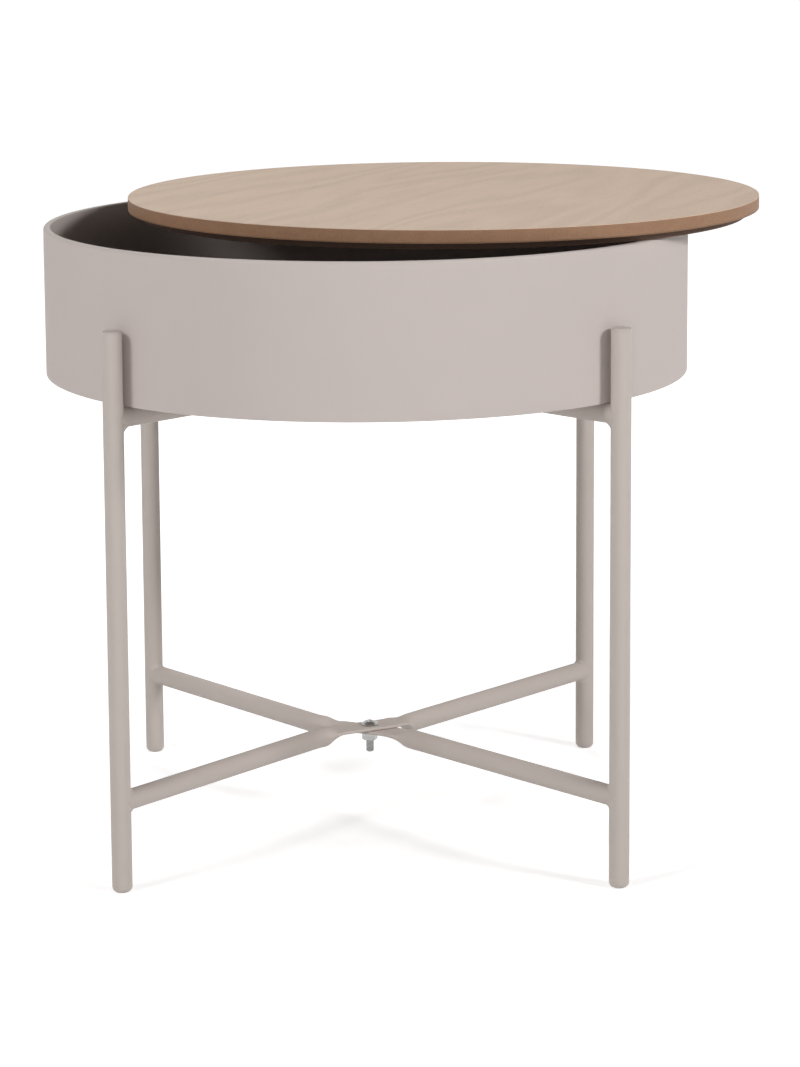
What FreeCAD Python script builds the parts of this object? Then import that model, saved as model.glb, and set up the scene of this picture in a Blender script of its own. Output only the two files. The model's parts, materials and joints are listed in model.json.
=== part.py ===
import FreeCAD, Part
import math
import os

# Round storage side table. A drum with a wall of moulded board stands on two crossed frames of
# round steel tube, and a loose round lid rests on the drum's rim, pushed aside towards +X and +Y.
# Frame: millimetres, +Z up, origin on the floor below the drum's axis, front towards -Y.

Vector = FreeCAD.Vector
UP = Vector(0, 0, 1)
ORIGIN = Vector(0, 0, 0)
# Points nearer to each other than this are one point.
same_point = 1e-6

# Drum
drum_diameter = 460.0
drum_depth = 105.0
rim_height = 440.0
drum_wall_thickness = 5.0
rim_outer_round = 2.0
rim_inner_round = 1.0
floor_thickness = 6.0

# Tube frames
tube_diameter = 14.0
tube_wall = 1.2
leg_gap = 3.0
leg_overlap = 52.0
lower_rail_height = 63.0
flat_length = 44.0
taper_length = 16.0
arm_sections = 19
flat_gap = 0.1
# In plan, a lower rail's flat turns aside from the line between its legs, and its arms bend back to
# the legs at these distances from the crossing. Its flat also rises above its arms' axis.
flat_turn = 20.0
right_bend = 18.0
left_bend = 40.0
bend_reach = 7.0
flat_rise = 2.4
# Places on a round rail's section, seen from its axis, where its side arcs start and end
section_corner_angle = 16.0
# How far short of a leg's axis the sharp ends of a coped rail stop
rail_nose = 1.5

# Weld beads in the corners between legs and rails
lower_bead = 3.5
upper_bead = 5.5
bead_sweep = 60.0
bead_sections = 9
bead_hollow = 0.36

# Caps that close the legs
foot_height = 6.0
foot_round = 4.0
top_cap_height = 2.0
top_cap_chamfer = 0.8
spigot_length = 12.0

# Machine screws and nut, all one thread
thread_diameter = 6.0
thread_chamfer = 0.8
head_diameter = 13.0
head_height = 3.6
head_edge = 0.8
recess_span = 6.0
recess_width = 1.3
recess_depth = 2.0
cross_screw_length = 20.0
nut_across_flats = 10.0
nut_height = 6.0
nut_chamfer_angle = 30.0
nut_turn = 10.0

# Drum screws, from inside the drum into threaded bushes in the upper rails
drum_screw_circle = 240.0
drum_screw_length = 16.0
washer_diameter = 14.0
washer_thickness = 1.6
bush_diameter = 9.0

# Lid
lid_shift_x = 56.5
lid_shift_y = 49.5
core_thickness = 8.4
veneer = 0.5
veneer_chamfer = 0.3
disc_thickness = 5.0
disc_screw_circle = 360.0
disc_screw_count = 4
disc_screw_start_angle = 45.0
wood_screw_diameter = 3.5
wood_screw_head = 7.0
wood_screw_length = 11.0
wood_screw_point = 3.0
wood_recess_span = 3.5
wood_recess_width = 0.9
wood_recess_depth = 1.2

# Clearances
fit_gap = 0.1
hole_gap = 0.2
lid_seat_gap = 0.3
disc_clearance = 4.0

# Worked out from the sizes above
drum_radius = drum_diameter / 2
drum_bottom = rim_height - drum_depth
drum_inner_radius = drum_radius - drum_wall_thickness
tube_radius = tube_diameter / 2
bore_radius = tube_radius - tube_wall
leg_circle = drum_radius + leg_gap + tube_radius
leg_top = drum_bottom + leg_overlap
upper_rail_height = drum_bottom - tube_radius
flat_thickness = 2 * tube_wall
flat_width = math.pi * (tube_diameter - tube_wall) / 2
# A weld bead bites into the tubes by its root, and its thin toes by much less.
bead_root = tube_wall / 2
bead_toe = tube_wall / 8
thread_radius = thread_diameter / 2
bush_bottom = upper_rail_height - math.sqrt(bore_radius ** 2 - (bush_diameter / 2) ** 2) + fit_gap
floor_top = drum_bottom + floor_thickness
disc_radius = drum_inner_radius - disc_clearance
disc_bottom = rim_height + lid_seat_gap
core_bottom = disc_bottom + disc_thickness + veneer
core_top = core_bottom + core_thickness
crossing_height = lower_rail_height + flat_rise

# Frame A runs from the front left to the back right, frame B from the front right to the back left.
frame_angles = {"a": 45.0, "b": -45.0}
leg_angles = {"front_left": 225.0, "front_right": 315.0, "back_left": 135.0, "back_right": 45.0}
# Where the rails cross, frame A's pressed flat lies on frame B's.
flat_side = {"a": 1, "b": -1}


def turned(shape, angle):
    """A copy of shape, turned about the table's upright axis."""
    copy = shape.copy()
    copy.rotate(ORIGIN, UP, angle)
    return copy


def moved(shape, x=0.0, y=0.0, z=0.0):
    copy = shape.copy()
    copy.translate(Vector(x, y, z))
    return copy


def in_line_with_legs(shape):
    """Four copies of shape, which is drawn at +X, one in line with each leg."""
    return [turned(shape, angle) for angle in leg_angles.values()]


def upright(radius, bottom, top, x=0.0):
    """An upright cylinder."""
    return Part.makeCylinder(radius, top - bottom, Vector(x, 0, bottom), UP)


def corner_arc(centre_r, centre_z, radius, start_angle, end_angle):
    """The middle and end points of an arc, for spun()."""
    angles = (math.radians((start_angle + end_angle) / 2), math.radians(end_angle))
    return tuple((centre_r + radius * math.cos(a), centre_z + radius * math.sin(a)) for a in angles)


def spun(start, *steps):
    """A solid of revolution about Z. A step is a point (r, z), or the two points of an arc."""
    edges = []
    here = Vector(start[0], 0, start[1])
    for step in steps + (start,):
        if isinstance(step[0], tuple):
            through = Vector(step[0][0], 0, step[0][1])
            end = Vector(step[1][0], 0, step[1][1])
            edges.append(Part.Arc(here, through, end).toShape())
        else:
            end = Vector(step[0], 0, step[1])
            if end.distanceToPoint(here) > same_point:
                edges.append(Part.makeLine(here, end))
        here = end
    return Part.Face(Part.Wire(edges)).revolve(ORIGIN, UP, 360)


# ---------------------------------------------------------------- drum

def drum_wall():
    """Moulded wall with a rounded rim."""
    top = rim_height
    outer, inner = drum_radius, drum_inner_radius
    return spun(
        (outer, drum_bottom),
        (outer, top - rim_outer_round),
        corner_arc(outer - rim_outer_round, top - rim_outer_round, rim_outer_round, 0, 90),
        (inner + rim_inner_round, top),
        corner_arc(inner + rim_inner_round, top - rim_inner_round, rim_inner_round, 90, 180),
        (inner, drum_bottom),
    )


def drum_floor():
    """Flat disc inside the foot of the wall, with a clearance hole over each rail bush."""
    disc = upright(drum_inner_radius - fit_gap, drum_bottom, floor_top)
    hole = upright(thread_radius + hole_gap, drum_bottom, floor_top, drum_screw_circle / 2)
    return disc.cut(in_line_with_legs(hole))


# ---------------------------------------------------------------- tube frames

def leg_tube():
    bottom = foot_height
    top = leg_top - top_cap_height
    return upright(tube_radius, bottom, top, leg_circle).cut(upright(bore_radius, bottom, top, leg_circle))


def foot_cap():
    """Rounded foot with a spigot that plugs the bottom of a leg."""
    rounding = min(foot_round, foot_height, tube_radius)
    spigot = bore_radius - fit_gap
    cap = spun(
        (0.0, 0.0),
        (tube_radius - rounding, 0.0),
        corner_arc(tube_radius - rounding, rounding, rounding, -90, 0),
        (tube_radius, foot_height),
        (spigot, foot_height),
        (spigot, foot_height + spigot_length),
        (0.0, foot_height + spigot_length),
    )
    return moved(cap, x=leg_circle)


def top_cap():
    """Flat cap with a chamfered edge and a spigot that plugs the top of a leg."""
    spigot = bore_radius - fit_gap
    shoulder = leg_top - top_cap_height
    cap = spun(
        (0.0, leg_top),
        (tube_radius - top_cap_chamfer, leg_top),
        (tube_radius, leg_top - top_cap_chamfer),
        (tube_radius, shoulder),
        (spigot, shoulder),
        (spigot, shoulder - spigot_length),
        (0.0, shoulder - spigot_length),
    )
    return moved(cap, x=leg_circle)


def pressed_section(press, side, rise, inset):
    """Section of a rail across +X: press 0 is the round tube and press 1 the tube pressed flat.

    The section has a top, a right, a bottom and a left edge, so that sections join edge to edge.
    """
    side_angle = math.radians(section_corner_angle)
    half_height = tube_radius + press * (flat_thickness / 2 - tube_radius)
    half_width = tube_radius + press * (flat_width / 2 - tube_radius)
    round_y, round_z = tube_radius * math.cos(side_angle), tube_radius * math.sin(side_angle)
    shoulder_y = round_y + press * (flat_width / 2 - flat_thickness / 2 - round_y)
    shoulder_z = round_z + press * (flat_thickness / 2 - round_z)
    across = 1 - inset / half_width
    upwards = 1 - inset / half_height
    centre_z = press * (rise + side * (flat_thickness + flat_gap) / 2)

    def point(y, z):
        return Vector(0, y * across, centre_z + z * upwards)

    corners = [point(-shoulder_y, shoulder_z), point(shoulder_y, shoulder_z),
               point(shoulder_y, -shoulder_z), point(-shoulder_y, -shoulder_z)]
    crests = [point(0, half_height), point(half_width, 0), point(0, -half_height), point(-half_width, 0)]
    edges = []
    for i, crest in enumerate(crests):
        start, end = corners[i], corners[(i + 1) % 4]
        is_straight = press == 1 and i % 2 == 0
        edges.append(Part.makeLine(start, end) if is_straight else Part.Arc(start, crest, end).toShape())
    return Part.Wire(edges)


def eased(share):
    """Runs from 0 to 1 as share does, and starts and ends level."""
    return share ** 3 * (share * (6 * share - 15) + 10)


def direction(angle):
    """The level direction at this angle from +X."""
    return Vector(math.cos(math.radians(angle)), math.sin(math.radians(angle)), 0)


def arm_angle(turn, bend):
    """The angle in plan of a rail's arm, from its bend to the leg on +X."""
    corner = direction(turn) * bend
    return math.degrees(math.atan2(-corner.y, leg_circle - corner.x))


def half_rail(side, turn, bend, rise):
    """One arm of a rail, from the crossing to the leg on +X, before its holes are made.

    Its flat leaves the crossing at the angle turn, and the arm bends towards the leg at the
    distance bend. A rail without a turn has no bend, whatever that distance is.
    """
    ahead, onward = direction(turn), direction(arm_angle(turn, bend))
    corner = ahead * bend
    flat_end = flat_length / 2
    first = min(flat_end, bend - bend_reach)
    last = max(flat_end + taper_length, bend + bend_reach)

    def place(section, distance):
        """Move a section to its distance along the arm, square to the arm there."""
        share = min(max((distance - bend + bend_reach) / (2 * bend_reach), 0), 1)
        if share == 0:
            centre = ahead * distance
        elif share == 1:
            centre = corner + onward * (distance - bend)
        else:
            centre = (corner - ahead * bend_reach * (1 - share) ** 2
                      + onward * bend_reach * share ** 2)
        heading = ahead * (1 - share) + onward * share
        placed = section.copy()
        placed.rotate(ORIGIN, UP, math.degrees(math.atan2(heading.y, heading.x)))
        placed.translate(centre)
        return placed

    shell, bore = [], []
    for i in range(arm_sections):
        distance = first + (last - first) * i / (arm_sections - 1)
        open_share = min(max((distance - flat_end) / taper_length, 0), 1)
        press = 1 - eased(open_share)
        shell.append(place(pressed_section(press, side, rise, 0.0), distance))
        # The bore starts after the flat, which is pressed shut.
        if press < 1:
            bore.append(place(pressed_section(press, side, rise, tube_wall), distance))
    flat = Part.Face(place(pressed_section(1, side, rise, 0.0), 0.0)).extrude(ahead * first)
    start = corner + onward * (last - bend)
    round_length = (Vector(leg_circle, 0, 0) - start).Length - rail_nose
    outside = flat.fuse([
        Part.makeLoft(shell, True, False),
        Part.makeCylinder(tube_radius, round_length, start, onward),
    ])
    inside = Part.makeCylinder(bore_radius, round_length, start, onward).fuse(Part.makeLoft(bore, True, False))
    return outside.cut(inside)


def rail(frame, height, holes, turn=0.0, rise=0.0):
    """Cross rail between two legs, pressed flat in the middle and coped to the legs at its ends."""
    side = flat_side[frame]
    right = half_rail(side, turn, right_bend, rise)
    left = turned(half_rail(side, turn, left_bend, rise), 180)
    whole = moved(right.fuse(left).removeSplitter(), z=height)
    legs = [upright(tube_radius, height - tube_diameter, height + tube_diameter, x)
            for x in (leg_circle, -leg_circle)]
    whole = whole.cut(legs + holes)
    return turned(whole, frame_angles[frame])


def lower_rail_turn(frame):
    """The two flats turn towards each other in plan, so each turns the way the other doesn't."""
    return -flat_side[frame] * flat_turn


def lower_rail(frame):
    hole = upright(thread_radius + hole_gap, lower_rail_height - tube_radius, lower_rail_height + tube_radius)
    return rail(frame, lower_rail_height, [hole], lower_rail_turn(frame), flat_rise)


def upper_rail(frame):
    holes = [upright(bush_diameter / 2 + fit_gap, bush_bottom, drum_bottom, x)
             for x in (drum_screw_circle / 2, -drum_screw_circle / 2)]
    return rail(frame, upper_rail_height, holes)


def rail_bush():
    """Threaded bush let into the top of an upper rail; its flat top carries the drum's floor."""
    bush = upright(bush_diameter / 2, bush_bottom, drum_bottom, drum_screw_circle / 2)
    return bush.cut(upright(thread_radius + fit_gap, bush_bottom, drum_bottom, drum_screw_circle / 2))


def bead_section(theta, size, height, side):
    """Section of a weld bead in the corner between a leg and a rail, at one place along its saddle."""
    reach = size * math.cos(theta)
    corner_x = leg_circle - tube_radius * math.cos(theta)
    y = tube_radius * math.sin(theta)
    corner_z = height + side * tube_radius * math.cos(theta)

    def point(inwards, away):
        return Vector(corner_x - inwards, y, corner_z + side * away)

    hollow = reach * bead_hollow
    on_rail = point(reach, -bead_toe)
    on_leg = point(-bead_toe, reach)
    face = Part.Arc(on_rail, point(hollow, hollow), on_leg).toShape()
    back = [
        on_leg,
        point(-bead_root, reach),
        point(-bead_root, -bead_root),
        point(reach, -bead_root),
        on_rail,
    ]
    return Part.Wire([face] + [Part.makeLine(a, b) for a, b in zip(back, back[1:])])


def weld_bead(size, height, side, turn=0.0):
    """Weld bead above (side 1) or below (side -1) a rail, at the leg on +X.

    The rail comes to the leg at the angle turn in plan.
    """
    step = 2 * bead_sweep / (bead_sections - 1)
    sections = [bead_section(math.radians(i * step - bead_sweep), size, height, side)
                for i in range(bead_sections)]
    bead = Part.makeLoft(sections, True, False)
    leg = upright(tube_radius, height - tube_diameter - size, height + tube_diameter + size, leg_circle)
    tube = Part.makeCylinder(tube_radius, tube_diameter + size + leg_circle / 2,
                             Vector(leg_circle / 2, 0, height), Vector(1, 0, 0))
    bead = bead.cut([leg, tube])
    bead.rotate(Vector(leg_circle, 0, 0), UP, turn)
    return bead


def weld_beads(frame):
    """The six beads of a frame: one below each upper joint, and two at each lower joint."""
    beads = []
    for bend, half_turn in ((right_bend, 0), (left_bend, 180)):
        turn = arm_angle(lower_rail_turn(frame), bend)
        joint = [
            weld_bead(lower_bead, lower_rail_height, 1, turn),
            weld_bead(lower_bead, lower_rail_height, -1, turn),
            weld_bead(upper_bead, upper_rail_height, -1),
        ]
        beads += [turned(bead, frame_angles[frame] + half_turn) for bead in joint]
    return Part.makeCompound(beads)


# ---------------------------------------------------------------- fasteners

def pan_screw(length, under_head):
    """Pan-head screw with a cross recess, head up, its head's seat at under_head."""
    head_radius = head_diameter / 2
    crown = head_height - head_edge
    ball = (head_radius ** 2 + crown ** 2) / (2 * crown)
    half_angle = math.degrees(math.asin(head_radius / ball))
    screw = spun(
        (0.0, under_head + head_height),
        corner_arc(0.0, under_head + head_height - ball, ball, 90, 90 - half_angle),
        (head_radius, under_head),
        (thread_radius, under_head),
        (thread_radius, under_head - length + thread_chamfer),
        (thread_radius - thread_chamfer, under_head - length),
        (0.0, under_head - length),
    )
    slot = Part.makeBox(recess_span, recess_width, recess_depth,
                        Vector(-recess_span / 2, -recess_width / 2, under_head + head_height - recess_depth))
    return screw.cut([slot, turned(slot, 90)])


def hex_nut(top):
    """Hexagon nut with chamfered corners, its upper face at top."""
    corner_radius = nut_across_flats / math.sqrt(3)
    points = [Vector(corner_radius * math.cos(math.radians(60 * i)),
                     corner_radius * math.sin(math.radians(60 * i)), top - nut_height) for i in range(7)]
    prism = Part.Face(Part.makePolygon(points)).extrude(Vector(0, 0, nut_height))
    flat_radius = nut_across_flats / 2
    drop = (corner_radius - flat_radius) * math.tan(math.radians(nut_chamfer_angle))
    envelope = spun(
        (0.0, top - nut_height),
        (flat_radius, top - nut_height),
        (corner_radius, top - nut_height + drop),
        (corner_radius, top - drop),
        (flat_radius, top),
        (0.0, top),
    )
    bore = upright(thread_radius + fit_gap, top - nut_height, top)
    return turned(prism.common(envelope).cut(bore), nut_turn)


def drum_screw():
    return moved(pan_screw(drum_screw_length, floor_top + washer_thickness), x=drum_screw_circle / 2)


def drum_washer():
    place = drum_screw_circle / 2
    washer = upright(washer_diameter / 2, floor_top, floor_top + washer_thickness, place)
    return washer.cut(upright(thread_radius + hole_gap, floor_top, floor_top + washer_thickness, place))


# ---------------------------------------------------------------- lid

def wood_screw_shape(grow):
    """Countersunk wood screw, point up, as a solid or, grown by a gap, as its hole."""
    bottom = disc_bottom
    shank = wood_screw_diameter / 2
    head = wood_screw_head / 2
    taper = head - shank
    return spun(
        (0.0, bottom),
        (head + grow, bottom),
        (shank + grow, bottom + taper),
        (shank + grow, bottom + wood_screw_length - wood_screw_point),
        (0.0, bottom + wood_screw_length + grow),
    )


def wood_screw():
    """Wood screw that holds the locating disc to the lid, with a cross recess in its head."""
    slot = Part.makeBox(wood_recess_span, wood_recess_width, wood_recess_depth,
                        Vector(-wood_recess_span / 2, -wood_recess_width / 2, disc_bottom))
    return wood_screw_shape(0.0).cut([slot, turned(slot, 90)])


def on_screw_circle(shape):
    """Copies of shape at the places of the locating disc's screws."""
    placed = moved(shape, x=disc_screw_circle / 2)
    angles = [disc_screw_start_angle + i * 360 / disc_screw_count for i in range(disc_screw_count)]
    return [turned(placed, angle) for angle in angles]


def lid_disc(radius, bottom, top):
    """Round panel of the lid, drilled for the screws that reach into it, still centred."""
    return upright(radius, bottom, top).cut(on_screw_circle(wood_screw_shape(fit_gap)))


def lid_veneer(seam, outwards):
    """Veneer glued on at seam, facing up for outwards 1 or down for -1, its outer edge eased."""
    easing = min(veneer_chamfer, veneer)
    face = seam + outwards * veneer
    sheet = spun(
        (0.0, seam),
        (drum_radius, seam),
        (drum_radius, face - outwards * easing),
        (drum_radius - easing, face),
        (0.0, face),
    )
    return sheet.cut(on_screw_circle(wood_screw_shape(fit_gap)))


lid_pieces = {
    "lid_core": lid_disc(drum_radius, core_bottom, core_top),
    "lid_top_veneer": lid_veneer(core_top, 1),
    "lid_bottom_veneer": lid_veneer(core_bottom, -1),
    "locating_disc": lid_disc(disc_radius, disc_bottom, disc_bottom + disc_thickness),
    "locating_disc_screws": Part.makeCompound(on_screw_circle(wood_screw())),
}

parts = {
    "drum_wall": drum_wall(),
    "drum_floor": drum_floor(),
    "drum_screws": Part.makeCompound(in_line_with_legs(drum_screw())),
    "drum_washers": Part.makeCompound(in_line_with_legs(drum_washer())),
    "rail_bushes": Part.makeCompound(in_line_with_legs(rail_bush())),
    "cross_screw": pan_screw(cross_screw_length, crossing_height + flat_gap / 2 + flat_thickness),
    "cross_nut": hex_nut(crossing_height - flat_gap / 2 - flat_thickness),
}
for place, angle in leg_angles.items():
    parts["leg_" + place] = turned(leg_tube(), angle)
    parts["foot_cap_" + place] = turned(foot_cap(), angle)
    parts["top_cap_" + place] = turned(top_cap(), angle)
for frame in frame_angles:
    parts["lower_rail_" + frame] = lower_rail(frame)
    parts["upper_rail_" + frame] = upper_rail(frame)
    parts["weld_beads_" + frame] = weld_beads(frame)
for name, piece in lid_pieces.items():
    parts[name] = moved(piece, lid_shift_x, lid_shift_y)

os.makedirs("parts", exist_ok=True)
for name, shape in parts.items():
    shape.exportStep("parts/" + name + ".step")
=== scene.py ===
# %% [markdown]
# # A round storage table with a loose lid
#
# The table is a painted drum of moulded board on two crossed frames of steel tube. A round wooden
# lid lies on the drum's rim, pushed aside. The parts were drawn to size beforehand and come in as
# a fixed frame. This lesson dresses them: it models afresh the pieces whose edges and threads
# catch the eye, and gives every surface a finish worked out by shader nodes, without pictures.

import json
import math

import bmesh
import bpy
from mathutils import Matrix, Vector


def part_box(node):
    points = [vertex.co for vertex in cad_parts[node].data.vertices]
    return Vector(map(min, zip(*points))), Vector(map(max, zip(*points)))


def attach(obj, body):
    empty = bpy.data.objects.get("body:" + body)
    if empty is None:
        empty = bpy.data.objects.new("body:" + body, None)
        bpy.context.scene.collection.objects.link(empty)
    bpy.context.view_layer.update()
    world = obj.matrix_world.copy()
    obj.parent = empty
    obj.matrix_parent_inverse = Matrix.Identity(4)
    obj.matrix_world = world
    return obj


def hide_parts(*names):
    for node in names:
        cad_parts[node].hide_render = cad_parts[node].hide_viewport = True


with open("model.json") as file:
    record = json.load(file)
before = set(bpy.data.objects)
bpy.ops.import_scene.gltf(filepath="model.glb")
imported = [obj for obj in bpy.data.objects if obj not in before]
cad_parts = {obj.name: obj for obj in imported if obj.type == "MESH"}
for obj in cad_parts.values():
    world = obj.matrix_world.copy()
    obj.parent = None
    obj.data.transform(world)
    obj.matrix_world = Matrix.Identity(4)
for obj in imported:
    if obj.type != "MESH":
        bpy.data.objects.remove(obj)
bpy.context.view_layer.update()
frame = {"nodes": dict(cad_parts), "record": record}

# %% [markdown]
# ## Working in edit mode
#
# Every operator acts on whatever is selected, and the frame's own parts are selected after they
# load. So each piece starts with nothing selected, and edges and faces are then picked by where
# they are. A few helpers keep that safe and short. The last one finishes a piece: it bakes its
# place into its mesh, as the frame's parts have it, so that patterns stay put on it.

# %% Helpers for modelling
smooth_angle = math.radians(30)


def start_afresh():
    if bpy.context.object and bpy.context.object.mode == "EDIT":
        bpy.ops.object.mode_set(mode="OBJECT")
    bpy.ops.object.select_all(action="DESELECT")


def open_for_editing(name):
    """Name the primitive that was just added, and open it in edit mode."""
    piece = bpy.context.object
    piece.name = name
    piece.data.name = name
    bpy.ops.object.mode_set(mode="EDIT")
    return piece


def pick(piece, kind, test):
    """Select the piece's edges or faces that pass the test, and nothing else."""
    bpy.ops.mesh.select_mode(type=kind)
    bpy.ops.mesh.select_all(action="DESELECT")
    mesh = bmesh.from_edit_mesh(piece.data)
    items = mesh.edges if kind == "EDGE" else mesh.faces
    for item in items:
        item.select_set(test(item))
    mesh.select_flush_mode()
    bmesh.update_edit_mesh(piece.data)


def turn_normals_outwards():
    bpy.ops.mesh.select_all(action="SELECT")
    bpy.ops.mesh.remove_doubles(threshold=1e-6)
    bpy.ops.mesh.normals_make_consistent(inside=False)


def apply_modifier(piece, kind, **settings):
    modifier = piece.modifiers.new(kind.title(), kind)
    for name, value in settings.items():
        setattr(modifier, name, value)
    bpy.context.view_layer.objects.active = piece
    bpy.ops.object.modifier_apply(modifier=modifier.name)


def cut_with(piece, tool, operation):
    """Combine a piece with a tool mesh, and throw the tool away."""
    apply_modifier(piece, "BOOLEAN", object=tool, operation=operation, solver="EXACT",
                   use_self=True)
    bpy.data.objects.remove(tool)


def settle(piece):
    """Leave edit mode, put the piece's place into its mesh and smooth its gentle edges."""
    start_afresh()
    piece.select_set(True)
    bpy.context.view_layer.objects.active = piece
    bpy.ops.object.transform_apply(location=True, rotation=True, scale=True)
    bpy.ops.object.shade_smooth_by_angle(angle=smooth_angle)
    print(piece.name, "has", len(piece.data.polygons), "faces")
    return piece

# %% [markdown]
# ## The drum
#
# The real drum's wall is moulded board five millimetres thick with a rounded top edge, painted
# inside and out. A ring like this could be a tube with a modifier on it, but it is easier to
# follow as one loop carried round the wall's outline: up the outside, in over the rim, down the
# inside and back out underneath. A loop just short of each corner keeps the corner's rounding from
# bending the light on the tall, plain wall.

# %% Drum sizes
MM = 0.001
drum_low, drum_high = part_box("drum_wall")
drum_radius = drum_high.x
drum_depth = drum_high.z - drum_low.z
wall_thickness = 5 * MM
rim_outer_round = 2 * MM
rim_inner_round = 1 * MM
cut_edge = 0.3 * MM
keeper = 3 * MM
drum_sides = 288
rounding_steps = 6
print("drum radius", round(drum_radius / MM), "mm, depth", round(drum_depth / MM), "mm")


# %% Model the drum
def runs_round(radius, height):
    """A test for the edges of the circle at this radius and height."""
    slack = MM / 10
    return lambda edge: all(abs(v.co.xy.length - radius) < slack and abs(v.co.z - height) < slack
                            for v in edge.verts)


def model_drum():
    start_afresh()
    bpy.ops.mesh.primitive_circle_add(vertices=drum_sides, radius=drum_radius,
                                      location=(0, 0, drum_low.z))
    drum = open_for_editing("drum_shell")
    inner_radius = drum_radius - wall_thickness
    inwards = inner_radius / drum_radius
    plain = drum_depth - 2 * keeper
    for rise, share in ((keeper, 1), (plain, 1), (keeper, 1), (0, inwards),
                        (-keeper, 1), (-plain, 1), (-keeper, 1), (0, 1 / inwards)):
        bpy.ops.mesh.extrude_region_move(TRANSFORM_OT_translate={"value": (0, 0, rise)})
        bpy.ops.transform.resize(value=(share, share, 1), center_override=(0, 0, 0))
    turn_normals_outwards()
    for radius, height, rounding in ((drum_radius, drum_depth, rim_outer_round),
                                     (inner_radius, drum_depth, rim_inner_round),
                                     (drum_radius, 0, cut_edge), (inner_radius, 0, cut_edge)):
        pick(drum, "EDGE", runs_round(radius, height))
        bpy.ops.mesh.bevel(offset=rounding, segments=rounding_steps, affect="EDGES")
    return settle(drum)


drum = model_drum()
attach(drum, "base")
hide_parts("drum_wall")

# %% [markdown]
# ## The lid
#
# The lid is a fibreboard disc with a thin oak veneer on each face and a smaller disc below, which
# keeps the closed lid in the drum's mouth. Plain cylinders would be the right size, but discs
# with knife-sharp edges look drawn rather than sawn, so all four are modelled with eased edges.
# The ring of faces just inside each edge, made by an inset, keeps the flat face's shading flat
# right up to the rounding.

# %% Model the lid's layers
lid_sides = 288
board_easing = 0.5 * MM
veneer_easing = 0.28 * MM
easing_ring = 1 * MM
easing_steps = 4


def model_disc(name, node, picks_edge, easing):
    """A round panel in the place of a node, with the edges that picks_edge names eased."""
    low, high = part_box(node)
    start_afresh()
    bpy.ops.mesh.primitive_cylinder_add(vertices=lid_sides, radius=(high.x - low.x) / 2,
                                        depth=high.z - low.z, location=(low + high) / 2)
    disc = open_for_editing(name)
    half = (high.z - low.z) / 2

    def runs_level(edge):
        a, b = (corner.co.z for corner in edge.verts)
        return abs(a - b) < half and picks_edge((a + b) / 2)

    pick(disc, "EDGE", runs_level)
    bpy.ops.mesh.bevel(offset=easing, segments=easing_steps, affect="EDGES")
    # The two flat faces are the level ones with more than four corners.
    pick(disc, "FACE", lambda f: abs(f.normal.z) > 0.999 and len(f.verts) > 4)
    bpy.ops.mesh.inset(thickness=easing_ring)
    turn_normals_outwards()
    return settle(disc)


board = model_disc("lid_board", "lid_core", lambda z: z < 0, board_easing)
face = model_disc("lid_face", "lid_top_veneer", lambda z: z > 0, veneer_easing)
back = model_disc("lid_back", "lid_bottom_veneer", lambda z: z < 0, veneer_easing)
spigot = model_disc("lid_locator", "locating_disc", lambda z: True, board_easing)
for piece, node, slot in ((board, "lid_core", "lid_edge"), (face, "lid_top_veneer", "oak_veneer"),
                          (back, "lid_bottom_veneer", "oak_veneer"),
                          (spigot, "locating_disc", "disc_board")):
    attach(piece, "lid")
    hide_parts(node)

# %% [markdown]
# ## Screws
#
# A pan-head screw is a domed head with a cross recess and a rolled thread. A plain pin would do
# from across the room, but this one stands in full view where the rails cross. The head is half
# an outline, spun round. The thread is one tooth's outline wound up a helix by the Screw
# modifier, then trimmed by a chamfered bar, which leaves the faded first turn of a real screw.
# The four screws that hold the drum are copies of the same shape.

# %% Screw sizes
thread_radius = 3 * MM
thread_pitch = 1 * MM
thread_depth = 0.55 * MM
thread_chamfer = 0.8 * MM
head_radius = 6.5 * MM
head_height = 3.6 * MM
head_edge = 0.8 * MM
recess_span = 6 * MM
recess_width = 1.3 * MM
recess_depth = 2.2 * MM
recess_floor_share = 0.4
round_sides = 48
dome_steps = 10
print("thread", round(2 * thread_radius / MM), "mm thick, head", round(2 * head_radius / MM), "mm")


# %% Spin an outline into a solid
def draw_outline(name, points):
    """Edges through (radius, height) points beside the Z axis, left open in edit mode."""
    start_afresh()
    bpy.ops.mesh.primitive_plane_add()
    piece = open_for_editing(name)
    bpy.ops.mesh.delete(type="VERT")
    mesh = bmesh.from_edit_mesh(piece.data)
    corners = [mesh.verts.new((radius, 0, height)) for radius, height in points]
    for a, b in zip(corners, corners[1:]):
        mesh.edges.new((a, b))
    bmesh.update_edit_mesh(piece.data)
    return piece


def spin_outline(name, points):
    """Turn an outline that runs from axis to axis once round the Z axis."""
    piece = draw_outline(name, points)
    bpy.ops.mesh.select_all(action="SELECT")
    bpy.ops.mesh.spin(steps=round_sides, angle=math.tau, center=(0, 0, 0), axis=(0, 0, 1))
    turn_normals_outwards()
    bpy.ops.object.mode_set(mode="OBJECT")
    return piece


# %% Wind a thread
spare_turns = 4
bar_over_thread = 1.02
bar_past_end = MM / 100


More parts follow.
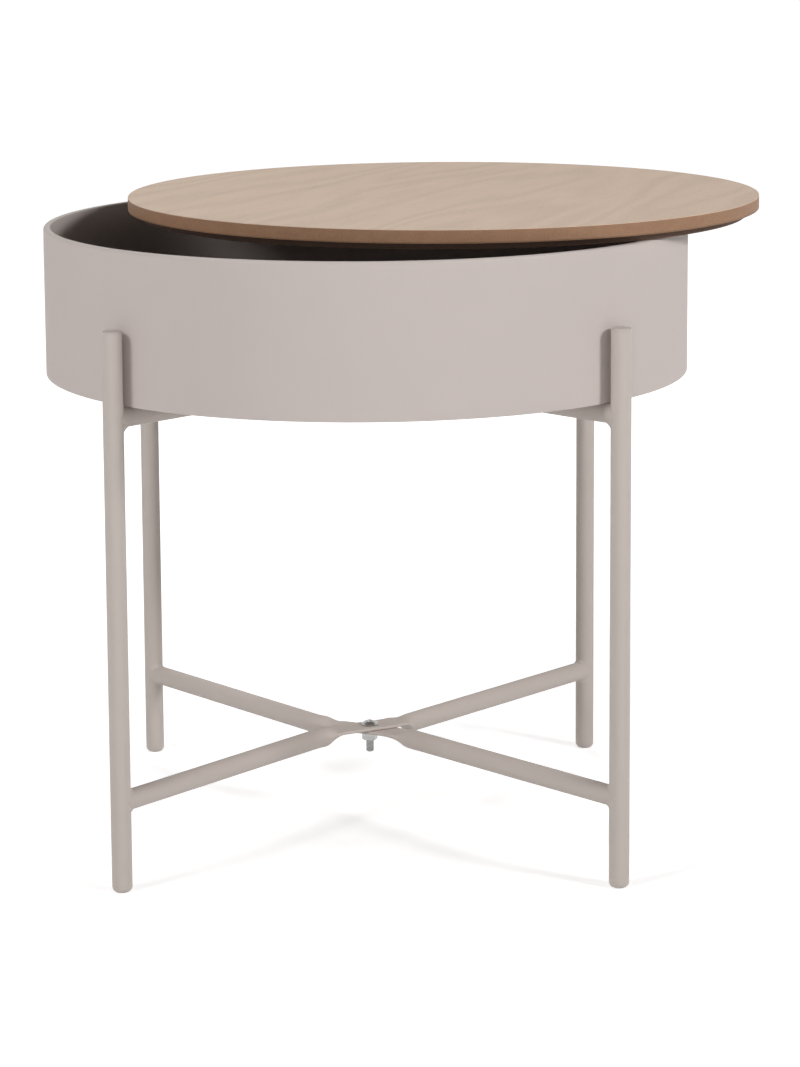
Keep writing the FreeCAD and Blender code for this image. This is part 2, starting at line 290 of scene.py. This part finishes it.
def wind_thread(length):
    """A threaded bar from height 0 down to -length, with a chamfered end."""
    root = thread_radius - thread_depth
    # One tooth, with its heights as shares of the pitch.
    tooth = [(root, 0), (root, 0.15), (thread_radius, 0.45), (thread_radius, 0.6),
             (root, 0.9), (root, 1)]
    thread = draw_outline("thread", [(radius, share * thread_pitch) for radius, share in tooth])
    bpy.ops.object.mode_set(mode="OBJECT")
    turns = math.ceil(length / thread_pitch) + spare_turns
    apply_modifier(thread, "SCREW", screw_offset=thread_pitch, iterations=turns, steps=round_sides,
                   render_steps=round_sides, use_merge_vertices=True, merge_threshold=1e-6)
    bpy.ops.object.mode_set(mode="EDIT")
    bpy.ops.mesh.select_all(action="SELECT")
    bpy.ops.transform.translate(value=(0, 0, -length - spare_turns / 2 * thread_pitch))
    for height, above in ((0, True), (-length, False)):
        bpy.ops.mesh.select_all(action="SELECT")
        bpy.ops.mesh.bisect(plane_co=(0, 0, height), plane_no=(0, 0, 1), use_fill=True,
                            clear_outer=above, clear_inner=not above)
    turn_normals_outwards()
    bpy.ops.object.mode_set(mode="OBJECT")
    # The bar is a little wider and longer than the thread, so only its chamfer cuts into it.
    bar_radius = thread_radius * bar_over_thread
    bar_end = -length - bar_past_end
    bar = spin_outline("bar", [
        (0, thread_pitch), (2 * thread_radius, thread_pitch), (2 * thread_radius, 0),
        (bar_radius, 0), (bar_radius, -length + thread_chamfer),
        (thread_radius - thread_chamfer, bar_end), (0, bar_end)])
    cut_with(thread, bar, "INTERSECT")
    return thread


# %% Shape the head
def cross_cutter():
    """Two crossed wings that narrow downwards, to sink the recess of a head."""
    start_afresh()
    bpy.ops.mesh.primitive_cube_add(size=1)
    cutter = open_for_editing("cutter")
    bpy.ops.mesh.select_all(action="SELECT")
    bpy.ops.transform.resize(value=(recess_span, recess_width, 2 * recess_depth))
    pick(cutter, "FACE", lambda f: f.normal.z < -0.9)
    bpy.ops.transform.resize(value=(recess_floor_share, recess_floor_share, 1))
    bpy.ops.mesh.select_all(action="SELECT")
    bpy.ops.mesh.duplicate()
    bpy.ops.transform.rotate(value=math.pi / 2, orient_axis="Z", center_override=(0, 0, 0))
    bpy.ops.object.mode_set(mode="OBJECT")
    return cutter


def shape_head():
    """A domed head from height 0 up, with its cross recess."""
    crown = head_height - head_edge
    # The dome is the cap of a ball, whose radius follows from the cap's width and height.
    ball = (head_radius ** 2 + crown ** 2) / (2 * crown)
    reach = math.asin(head_radius / ball)
    dome = []
    for i in range(dome_steps + 1):
        angle = reach * i / dome_steps
        dome.append((ball * math.sin(angle), head_height - ball + ball * math.cos(angle)))
    head = spin_outline("head", dome + [(head_radius, 0), (0, 0)])
    cutter = cross_cutter()
    cutter.location.z = head_height
    cut_with(head, cutter, "DIFFERENCE")
    return head


def model_screw(name, length, seats, turn=0):
    """A screw, copied to each of its seats, the points where its head bears."""
    head = shape_head()
    thread = wind_thread(length)
    copies = []
    for seat in seats:
        for source in (head, thread):
            copy = source.copy()
            copy.data = source.data.copy()
            bpy.context.scene.collection.objects.link(copy)
            copy.matrix_world = Matrix.Translation(seat) @ Matrix.Rotation(turn, 4, "Z")
            copies.append(copy)
    bpy.data.objects.remove(head)
    bpy.data.objects.remove(thread)
    start_afresh()
    for copy in copies:
        copy.select_set(True)
    bpy.context.view_layer.objects.active = copies[0]
    bpy.ops.object.join()
    copies[0].name = name
    return settle(copies[0])


# %% Put the screws in their seats
cross_screw_turn = math.radians(20)


def seats_of(node, height):
    """Where a node's four screws stand: a head's radius in from the sides of its box."""
    low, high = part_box(node)
    inset = head_radius
    return [Vector((x, y, height)) for x in (low.x + inset, high.x - inset)
            for y in (low.y + inset, high.y - inset)]


cross_low, cross_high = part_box("cross_screw")
cross_seat = Vector((0, 0, cross_high.z - head_height))
cross_screw = model_screw("crossing_screw", cross_seat.z - cross_low.z, [cross_seat],
                          cross_screw_turn)
low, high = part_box("drum_screws")
drum_seat_height = high.z - head_height
drum_screws = model_screw("drum_fixing_screws", drum_seat_height - low.z,
                          seats_of("drum_screws", drum_seat_height))
for piece, node, slot in ((cross_screw, "cross_screw", "bright_zinc"),
                          (drum_screws, "drum_screws", "zinc_hidden")):
    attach(piece, "base")
    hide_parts(node)

# %% [markdown]
# ## The nut
#
# A hexagon nut is a six-sided bar whose corners are turned off at 30 degrees, with a hole through
# it. It is made the same way here: a six-sided cylinder, cut down by a turned shape, then bored.
# What catches the light is the curved edge where the cone meets each flat.

# %% Model the nut
nut_turn = math.radians(10)
nut_flat_radius = 5 * MM
nut_chamfer_slope = math.tan(math.radians(30))
nut_edge_round = 0.1 * MM
nut_sharp_angle = math.radians(40)
outside_corners = 1.001
bore_radius = thread_radius - thread_depth / 2


def model_nut():
    low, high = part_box("cross_nut")
    height = high.z - low.z
    corner_radius = nut_flat_radius / math.cos(math.pi / 6)
    drop = (corner_radius - nut_flat_radius) * nut_chamfer_slope
    start_afresh()
    bpy.ops.mesh.primitive_cylinder_add(vertices=6, radius=corner_radius, depth=height,
                                        location=(0, 0, (low.z + high.z) / 2))
    nut = open_for_editing("crossing_nut")
    bpy.ops.object.mode_set(mode="OBJECT")
    bpy.ops.object.transform_apply(location=True, rotation=True, scale=True)
    edge = corner_radius * outside_corners
    turned = spin_outline("turned", [
        (0, low.z), (nut_flat_radius, low.z), (edge, low.z + drop), (edge, high.z - drop),
        (nut_flat_radius, high.z), (0, high.z)])
    cut_with(nut, turned, "INTERSECT")
    # The bore opens in a cone at the bottom, like the lead-in of a real nut.
    bore = spin_outline("bore", [
        (0, low.z - MM), (thread_radius + MM, low.z - MM), (bore_radius, low.z + MM / 2),
        (bore_radius, high.z + MM), (0, high.z + MM)])
    cut_with(nut, bore, "DIFFERENCE")
    nut.matrix_world = Matrix.Rotation(nut_turn + math.pi / 6, 4, "Z")
    apply_modifier(nut, "BEVEL", width=nut_edge_round, segments=2, limit_method="ANGLE",
                   angle_limit=nut_sharp_angle)
    return settle(nut)


nut = model_nut()
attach(nut, "base")
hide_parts("cross_nut")

# %% [markdown]
# ## Shader sums as plain arithmetic
#
# A finish is mostly sums: this noise, times so much, plus that. Placing a Math node by hand for
# each sum buries the idea, so a small class wraps an output socket and lets Python's own signs
# build the nodes. Every other node comes from one method, which takes the node's type, its
# settings and what goes into its sockets.

# %% The shader helper
class Wire:
    """An output socket that can be added, multiplied, and taken away from a number."""

    def __init__(self, shader, socket):
        self.shader = shader
        self.socket = socket

    def sum(self, operation, a, b):
        return self.shader.node("Math", {"operation": operation}, {0: a, 1: b})

    def __add__(self, other):
        return self.sum("ADD", self, other)

    def __rsub__(self, other):
        return self.sum("SUBTRACT", other, self)

    def __mul__(self, other):
        return self.sum("MULTIPLY", self, other)

    __radd__ = __add__
    __rmul__ = __mul__


class Shader:
    """A material whose nodes are made in code."""

    def __init__(self, name):
        self.material = bpy.data.materials.new(name)
        self.material.use_nodes = True
        self.tree = self.material.node_tree
        self.surface = self.tree.nodes["Principled BSDF"]
        self.place = self.node("TexCoord", output="Object")

    def node(self, kind, settings=None, inputs=None, output=None):
        """Add a node, set it up, feed its sockets, and return one of its outputs."""
        node = self.tree.nodes.new("ShaderNode" + kind)
        for name, value in (settings or {}).items():
            setattr(node, name, value)
        for key, value in (inputs or {}).items():
            self.feed(self.find(node.inputs, key), value)
        return Wire(self, self.find(node.outputs, output or 0))

    def find(self, sockets, key):
        usable = [socket for socket in sockets if socket.enabled]
        return usable[key] if isinstance(key, int) else next(s for s in usable if s.name == key)

    def feed(self, socket, value):
        if isinstance(value, Wire):
            self.tree.links.new(value.socket, socket)
        elif isinstance(value, tuple) and socket.type == "RGBA":
            socket.default_value = (*value, 1)
        else:
            socket.default_value = value

    def noise(self, place, scale, detail=2, roughness=0.5):
        """Noise with this many cells in each metre of the place, or in each unit of a grain."""
        return self.node("TexNoise", {}, {"Vector": place, "Scale": scale, "Detail": detail,
                                          "Roughness": roughness})

    def grained(self, cell, turn=0):
        """The place on the piece counted in cells of this size, turned about Z, for a grain."""
        return self.node("Mapping", {"vector_type": "TEXTURE"},
                         {"Vector": self.place, "Rotation": (0, 0, turn), "Scale": cell})

    def blend(self, share, a, b):
        return self.node("Mix", {"data_type": "RGBA"}, {"Factor": share, "A": a, "B": b})

    def ramp(self, value, start, end, first=0, last=1):
        """A grey that goes from one level to another while the value goes from start to end."""
        grey = self.node("ValToRGB", {}, {0: value})
        stops = grey.socket.node.color_ramp.elements
        for stop, position, level in zip(stops, (start, end), (first, last)):
            stop.position = position
            stop.color = (level, level, level, 1)
        return grey

    def relief(self, height, depth, strength):
        return self.node("Bump", {}, {"Height": height, "Distance": depth, "Strength": strength})

    def finish(self, **surface):
        """Feed the surface's sockets: base_color goes to Base Color, and so on."""
        for name, value in surface.items():
            label = name.replace("_", " ").title().replace("Ior", "IOR")
            self.feed(self.surface.inputs[label], value)
        print(self.material.name, "has", len(self.tree.nodes), "nodes")
        return self.material


def darker(colour, share):
    """The colour with this share of its brightness."""
    return tuple(channel * share for channel in colour)

# %% [markdown]
# ## Matt coats
#
# The frames are powder coated and the drum is sprayed: both end as a tough, dry, matt skin in one
# warm grey. Up close a coat has the faint pebbled surface that painters call orange peel, and over
# a large face its colour and gloss drift a little. A picture of paint would repeat and blur, and
# noise of three sizes does neither.

# %% Matt coat
peel_scale = 800


def matt_coat(name, pale, deep, peel_depth):
    coat = Shader(name)
    drift = coat.noise(coat.place, 7, 3)
    peel = coat.noise(coat.place, peel_scale, 2)
    speck = coat.noise(coat.place, 2600, 1)
    colour = coat.blend(drift * 0.7 + speck * 0.3, deep, pale)
    return coat.finish(base_color=colour,
                       roughness=0.58 + 0.12 * drift,
                       specular_ior_level=0.3,
                       normal=coat.relief(peel, peel_depth, 0.5))


drum_colour = (0.590, 0.522, 0.492)
frame_colour = (0.570, 0.505, 0.467)
drum_paint = matt_coat("drum paint", drum_colour, (0.552, 0.488, 0.459), 0.08 * MM)
frame_paint = matt_coat("frame powder coat", frame_colour, (0.530, 0.470, 0.433), 0.10 * MM)

# %% [markdown]
# The weld beads are under the same coat, but the ripples of the cooled metal show through it.
# Modelled ripples would need many faces on small beads, so they are noise in the coat's relief,
# in cells taller than they are wide.

# %% Coated weld
def coated_weld():
    coat = Shader("coated weld")
    drift = coat.noise(coat.place, 60, 3)
    ripple = coat.noise(coat.grained((1.1 * MM, 1.1 * MM, 2.8 * MM)), 1, 1)
    peel = coat.noise(coat.place, peel_scale, 2)
    colour = coat.blend(drift, (0.520, 0.460, 0.425), frame_colour)
    return coat.finish(base_color=colour,
                       roughness=0.58 + 0.1 * drift,
                       specular_ior_level=0.3,
                       normal=coat.relief(ripple * 0.8 + peel * 0.2, 0.35 * MM, 0.8))


weld_paint = coated_weld()

# %% [markdown]
# ## Caps
#
# The feet and the tops of the legs are moulded plugs, coloured to match. Moulded plastic is
# smoother than the coat beside it, with a fine satin grain. The grain is a fine noise that varies
# both gloss and relief, so that a plug reads as another material in the same colour.

# %% Moulded plastic
def moulded_plastic():
    plastic = Shader("cap plastic")
    drift = plastic.noise(plastic.place, 40, 2)
    grain = plastic.noise(plastic.place, 1800, 2)
    colour = plastic.blend(drift, (0.50, 0.44, 0.405), (0.545, 0.48, 0.445))
    return plastic.finish(base_color=colour,
                          roughness=0.42 + 0.1 * grain,
                          normal=plastic.relief(grain, 0.05 * MM, 0.4))


cap_plastic = moulded_plastic()

# %% [markdown]
# ## Oak veneer
#
# Oak sliced flat shows its year rings as long, nested arches, over broad bands of lighter and
# darker wood, with short dark pores between them, like dashes. All of it follows the grain. The
# bands and pores are noise in cells that are long along the grain and narrow across it, and the
# arches are the contour lines of such a noise, drawn by a sine. The underside has a backing
# veneer in a much darker brown, which is painted shade: from the side it is no more than a dark
# line below the board's edge, where the shade under the lid falls.

# %% Oak veneer
grain_turn = math.radians(68)
ring_swing = 60


def oak_veneer(name, pale, deep):
    oak = Shader(name)

    def cells(length, width):
        """Cells of these millimetres along and across the grain."""
        return oak.grained((length * MM, width * MM, width * MM), grain_turn)

    bands = oak.noise(cells(420, 38), 1, 3, 0.6)
    drift = oak.noise(oak.place, 5, 2)
    field = oak.noise(cells(560, 95), 1, 2, 0.45)
    rings = 0.5 + 0.5 * oak.node("Math", {"operation": "SINE"}, {0: field * ring_swing})
    streaks = oak.noise(cells(60, 3), 1, 3)
    # A ramp keeps only the peaks of a noise, which leaves separate flecks and dashes.
    flecks = oak.ramp(oak.noise(cells(20, 1.8), 1, 2), 0.60, 0.74)
    pores = oak.ramp(oak.noise(cells(6, 0.35), 1, 1), 0.58, 0.70)
    # The shares add up to one, so the wood stays between its two browns.
    light = bands * 0.40 + drift * 0.15 + rings * 0.20 + streaks * 0.25
    bare = oak.blend(light, deep, pale)
    marks = flecks * 0.18 + pores * (0.34 - 0.14 * rings)
    colour = oak.blend(marks, bare, darker(deep, 0.62))
    return oak.finish(base_color=colour,
                      roughness=0.52 + 0.12 * bands,
                      specular_ior_level=0.35,
                      normal=oak.relief(1 - pores * 0.8 + rings * 0.2, 0.06 * MM, 0.5))


veneer_finish = oak_veneer("oak veneer", (0.760, 0.574, 0.436), (0.510, 0.374, 0.270))
# The backing veneer's dark browns are painted shade, for the dark line under the lid's edge.
backing_veneer_with_painted_shade = oak_veneer("backing veneer with painted shade", (0.340, 0.200, 0.122), (0.225, 0.124, 0.071))

# %% [markdown]
# ## Fibreboard edges
#
# A sawn fibreboard edge, sealed with a clear coat, is a warm brown made of pressed fibres: fine
# flecks that lie flat, light and dark, with no grain as such. The noise has flat cells, so that
# the flecks lie along the edge. The disc under the lid and the drum's floor are the same board in
# a near-black brown. For the disc that is partly its own colour and partly painted shade from
# under the lid. For the floor it is painted shade, which keeps the drum's inside dark. The floor
# is sprayed with the drum on its underside only, so its finish changes at a height.

# %% Fibreboard
def fibreboard(name, pale, deep, gloss, painted_below=None):
    board = Shader(name)
    flecks = board.noise(board.grained((1.1 * MM, 1.1 * MM, 0.45 * MM)), 1, 3, 0.7)
    clumps = board.noise(board.grained((8 * MM, 8 * MM, 4 * MM)), 1, 3)
    # The lowest parts of the same noise are the darkest fibres.
    dark = board.ramp(flecks, 0.36, 0.46, first=1, last=0)
    bare = board.blend(clumps * 0.6 + flecks * 0.4, deep, pale)
    colour = board.blend(dark * 0.45, bare, darker(deep, 0.55))
    if painted_below:
        height = board.node("SeparateXYZ", {}, {0: board.place}, "Z")
        painted = board.node("Math", {"operation": "LESS_THAN"}, {0: height, 1: painted_below})
        colour = board.blend(painted, colour, drum_colour)
    return board.finish(base_color=colour,
                        roughness=gloss + 0.12 * flecks,
                        specular_ior_level=0.3,
                        normal=board.relief(flecks, 0.12 * MM, 0.6))


board_finish = fibreboard("fibreboard edge", (0.385, 0.222, 0.132), (0.245, 0.131, 0.072), 0.55)
# The locating disc's near-black brown is partly its own colour and partly painted shade from under
# the lid.
locator_board_with_painted_shade = fibreboard("dark fibreboard with painted shade", (0.135, 0.078, 0.052), (0.070, 0.041, 0.028), 0.65)
# The floor board's near-black brown inside the drum is painted shade, which keeps the drum's inside
# dark.
floor_board_with_painted_shade = fibreboard("drum floor board with painted shade", (0.105, 0.062, 0.040), (0.055, 0.032, 0.021), 0.65,
                         drum_low.z + MM)

# %% [markdown]
# ## Zinc plate
#
# Bright zinc is a hard, slightly cloudy mirror. Its clouds are patches that scatter more light, a
# little paler and a little rougher at once, so one noise makes both. Its colour is set darker
# than real zinc, which is painted shade in its reflections. The fixings inside the drum are the
# plain, duller grade.

# %% Zinc
def zinc(name, colour, deep, roughness):
    plate = Shader(name)
    cloud = plate.noise(plate.place, 350, 3)
    scuff = plate.noise(plate.place, 1500, 2)
    return plate.finish(base_color=plate.blend(cloud, deep, colour),
                        metallic=1.0,
                        roughness=roughness + 0.12 * cloud,
                        normal=plate.relief(scuff, 0.02 * MM, 0.4))


# The bright zinc's low colour is painted shade: it darkens what its reflections show.
bright_zinc = zinc("bright zinc with painted shade", (0.50, 0.50, 0.49), (0.34, 0.34, 0.33), 0.18)
plain_zinc = zinc("plain zinc", (0.66, 0.66, 0.64), (0.52, 0.52, 0.50), 0.28)

# %% [markdown]
# ## Handing out the finishes
#
# The frame's record says which slot each of its parts takes its finish from, so one table from
# slot to material dresses them all. The weld beads share the frames' slot but get their rippled
# coat. The pieces modelled here come last.

# %% Hand out the finishes
def wear(thing, material):
    thing.data.materials.clear()
    thing.data.materials.append(material)


finishes = {"drum_paint": drum_paint, "frame_paint": frame_paint, "cap_plastic": cap_plastic,
            "bright_zinc": bright_zinc, "zinc_hidden": plain_zinc, "lid_edge": board_finish,
            "oak_veneer": veneer_finish, "disc_board": locator_board_with_painted_shade, "drum_board": floor_board_with_painted_shade}
for subpart in frame["record"]["subparts"]:
    wear(frame["nodes"][subpart["node"]], finishes[subpart["material_slot"]])
for node in ("weld_beads_a", "weld_beads_b"):
    wear(frame["nodes"][node], weld_paint)
modelled = ((drum, drum_paint), (board, board_finish), (face, veneer_finish),
            (back, backing_veneer_with_painted_shade), (spigot, locator_board_with_painted_shade), (cross_screw, bright_zinc),
            (drum_screws, plain_zinc), (nut, bright_zinc))
for piece, material in modelled:
    wear(piece, material)

# %% [markdown]
# ## Floor
#
# The table stands on a plain white floor that runs on out of sight. More light would whiten the
# floor, but would bleach the table too. Its extra white is a glow instead, which only the camera
# and glossy reflections see. The glow grows away from the table, which leaves the table its soft
# shadow.

# %% Floor
glow_from, glow_to = 0.1, 1.2
glow_near, glow_far = 0.5, 0.9
floor_size = 40


def white_floor():
    ground = Shader("white floor")
    seen = (ground.node("LightPath", output="Is Camera Ray")
            + ground.node("LightPath", output="Is Glossy Ray"))
    far = ground.node("VectorMath", {"operation": "LENGTH"}, {0: ground.place}, "Value")
    glow = ground.node("MapRange", {}, {"Value": far, "From Min": glow_from, "From Max": glow_to,
                                        "To Min": glow_near, "To Max": glow_far}, "Result")
    white = ground.blend(ground.noise(ground.place, 2), (0.86, 0.86, 0.86), (0.88, 0.88, 0.88))
    ground.surface.inputs["Emission Strength"].default_value = 1
    return ground.finish(base_color=white, roughness=0.9, specular_ior_level=0.1,
                         emission_color=ground.blend(seen * glow, (0.0, 0.0, 0.0), (1.0, 1.0, 1.0)))


start_afresh()
bpy.ops.mesh.primitive_plane_add(size=floor_size, location=(0, 0, 0))
floor = bpy.context.object
floor.name = "floor"
wear(floor, white_floor())

# %% [markdown]
# ## Surroundings
#
# A studio's pale walls light an object from all round. An even dome would do that, but it lights
# the lid's top more than a room does. So the dome is brightest level with the table and falls off
# towards the zenith. The camera and glossy reflections see plain white in its place.

# %% Surroundings
horizon_strength = 0.54
zenith_strength = 0.04
dim_above = 0.7


def sky_node(kind, **settings):
    node = sky.nodes.new("ShaderNode" + kind)
    for name, value in settings.items():
        setattr(node, name, value)
    return node


world = bpy.data.worlds.new("studio")
bpy.context.scene.world = world
world.use_nodes = True
sky = world.node_tree
# The light is strongest from the sides and falls off towards the zenith.
direction, upwards, falling = sky_node("TexCoord"), sky_node("SeparateXYZ"), sky_node("MapRange")
sky.links.new(direction.outputs["Generated"], upwards.inputs[0])
sky.links.new(upwards.outputs["Z"], falling.inputs["Value"])
falling.inputs["From Max"].default_value = dim_above
falling.inputs["To Min"].default_value = horizon_strength
falling.inputs["To Max"].default_value = zenith_strength
# The camera and glossy reflections see white in its place.
path, either, level = sky_node("LightPath"), sky_node("Math", operation="ADD"), sky_node("MapRange")
sky.links.new(path.outputs["Is Camera Ray"], either.inputs[0])
sky.links.new(path.outputs["Is Glossy Ray"], either.inputs[1])
sky.links.new(either.outputs[0], level.inputs["Value"])
sky.links.new(falling.outputs[0], level.inputs["To Min"])
sky.links.new(level.outputs[0], sky.nodes["Background"].inputs["Strength"])
sky.nodes["Background"].inputs["Color"].default_value = (1, 1, 1, 1)
print("the dome's light falls from", horizon_strength, "to", zenith_strength)

# %% [markdown]
# ## Lamps
#
# The dome alone leaves round shapes flat, so four soft lamps give them form. The one on the right
# is the strongest. The one on the left is nearly as strong and stands higher. A weak, low one in
# front opens up the shadows, and one high behind lights the lid's top and the back. All of it
# together is at a level where a colour renders about as it is written.

# %% Lamps
def soft_box(name, place, target, size, power):
    light = bpy.data.lights.new(name, "AREA")
    light.shape = "DISK"
    light.size = size
    light.energy = power
    lamp = bpy.data.objects.new(name, light)
    lamp.location = place
    lamp.rotation_euler = (Vector(target) - Vector(place)).to_track_quat("-Z", "Y").to_euler()
    bpy.context.scene.collection.objects.link(lamp)
    print("lamp", name, "of", power, "W")


table_middle = (0, 0, 0.35)
soft_box("right", (2.23, -1.39, 1.58), table_middle, 0.6, 39)
soft_box("left", (-1.93, -1.62, 1.98), table_middle, 0.9, 34)
soft_box("front", (-0.31, -2.98, 0.46), table_middle, 0.5, 8)
soft_box("back", (-0.32, 1.82, 2.71), table_middle, 1.0, 16)

# %% [markdown]
# ## Camera
#
# The camera stands a little over two metres in front and seventy centimetres up, and looks
# slightly down. A small shift keeps the legs closer to upright than tilting alone would.

# %% Camera
camera_place = Vector((0.0006, -2.2270, 0.6996))
camera_yaw = math.radians(0.602)
camera_pitch = math.radians(8.473)
camera_roll = math.radians(-0.346)
lens = bpy.data.cameras.new("camera")
lens.lens = 105.486
lens.sensor_width = 36
lens.shift_y = -0.2
camera = bpy.data.objects.new("camera", lens)
camera.matrix_world = (Matrix.Translation(camera_place) @ Matrix.Rotation(-camera_yaw, 4, "Z")
                       @ Matrix.Rotation(math.pi / 2 - camera_pitch, 4, "X")
                       @ Matrix.Rotation(camera_roll, 4, "Z"))
bpy.context.scene.collection.objects.link(camera)
bpy.context.scene.camera = camera
bpy.context.scene.view_settings.view_transform = "Standard"
print("camera", round(-camera_place.y, 2), "m in front with a lens of", round(lens.lens), "mm")
